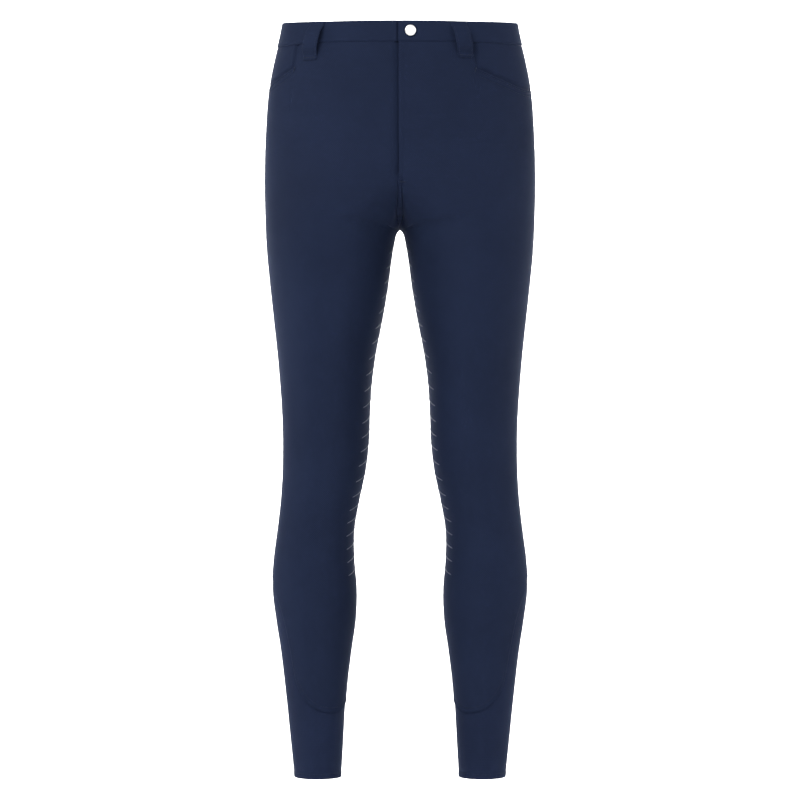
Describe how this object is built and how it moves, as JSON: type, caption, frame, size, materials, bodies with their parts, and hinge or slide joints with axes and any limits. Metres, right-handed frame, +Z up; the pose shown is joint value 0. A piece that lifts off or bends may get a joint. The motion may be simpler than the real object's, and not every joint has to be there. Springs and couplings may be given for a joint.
{
  "type": "riding breeches",
  "caption": "Slim navy men's riding breeches, filled out as worn and hollow, with a waistband, fly, scooped front pockets, wide belt loops and curved stretch cuffs at the lower legs.",
  "frame": {"origin": "middle of the waist opening, halfway up the waistband, where the wearer holds the garment", "axes": "+Z up along the wearer's body, +X towards the wearer's left, +Y towards the wearer's back"},
  "size_m": [0.3504, 0.2478, 0.9868],
  "materials": {
    "main_cloth": "matte stretch twill",
    "cuff_cloth": "matte stretch knit",
    "grip": "glossy printed silicone",
    "thread": "satin sewing thread",
    "button_metal": "polished"
  },
  "bodies": {
    "root": {"front_left": "main_cloth", "front_right": "main_cloth", "back_left": "main_cloth", "back_right": "main_cloth", "pocket_facing_left": "main_cloth", "pocket_facing_right": "main_cloth", "waistband": "main_cloth", "fly_shield": "main_cloth", "belt_loop_front_left": "main_cloth", "belt_loop_front_right": "main_cloth", "belt_loop_back_left": "main_cloth", "belt_loop_back_right": "main_cloth", "belt_loop_centre_back": "main_cloth", "cuff_left": "cuff_cloth", "cuff_right": "cuff_cloth", "button": "button_metal"}
  },
  "joints": []
}
